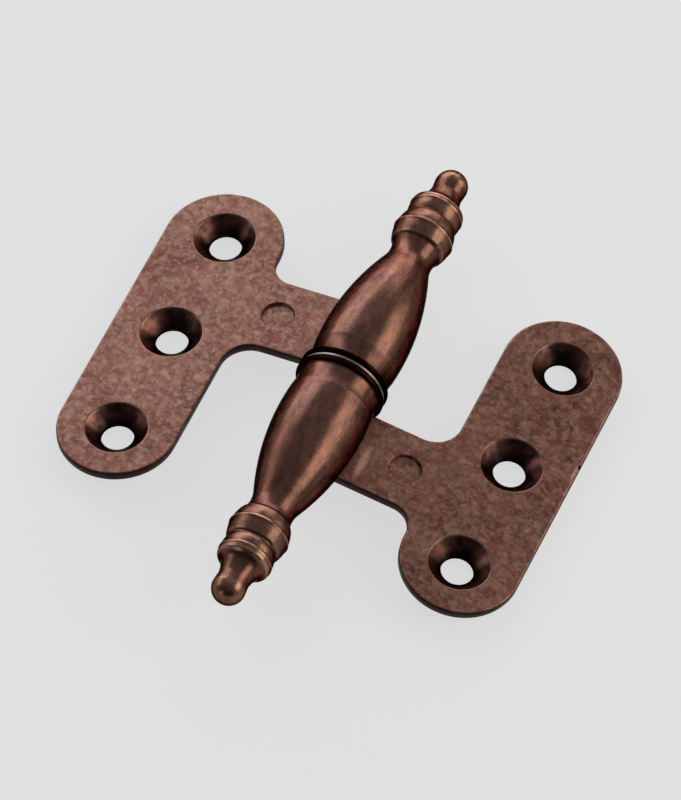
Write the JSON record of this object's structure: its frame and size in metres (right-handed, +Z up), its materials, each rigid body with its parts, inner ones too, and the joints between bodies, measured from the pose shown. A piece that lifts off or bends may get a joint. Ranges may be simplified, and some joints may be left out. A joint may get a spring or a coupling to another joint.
{
  "type": "lift-off flag hinge",
  "caption": "Two-leaf lift-off hinge with countersunk leaves and turned knuckles that end in ringed finials.",
  "frame": {"origin": "centre of the base: under the middle of the joint between the knuckles, on the table that the open hinge lies on", "axes": "+Y along the pin, from the lower knuckle to the upper one; +Z up from the table, out of the leaves' countersunk faces; +X towards the lower half's leaf"},
  "size_m": [0.0566, 0.0668, 0.0108],
  "materials": {
    "leaf_plate": "satin antique copper with a fine mottle, worn lighter on the edges",
    "turned_knuckle": "glossy dark antique copper",
    "pin_steel": "bright turned steel"
  },
  "bodies": {
    "lower_half": {"lower_leaf": "leaf_plate", "lower_knuckle": "turned_knuckle", "hinge_pin": "pin_steel"},
    "washer": {"bearing_washer": "pin_steel"},
    "upper_half": {"upper_leaf": "leaf_plate", "upper_knuckle": "turned_knuckle"}
  },
  "joints": [
    {"name": "swing", "type": "hinge", "parent": "lower_half", "child": "washer", "pos_m": [0, 0, 0.0054], "axis": [0, 1, 0], "range_deg": [-149, 193]},
    {"name": "lift", "type": "slide", "parent": "washer", "child": "upper_half", "axis": [0, 1, 0], "range_m": [0, 0.045]}
  ]
}
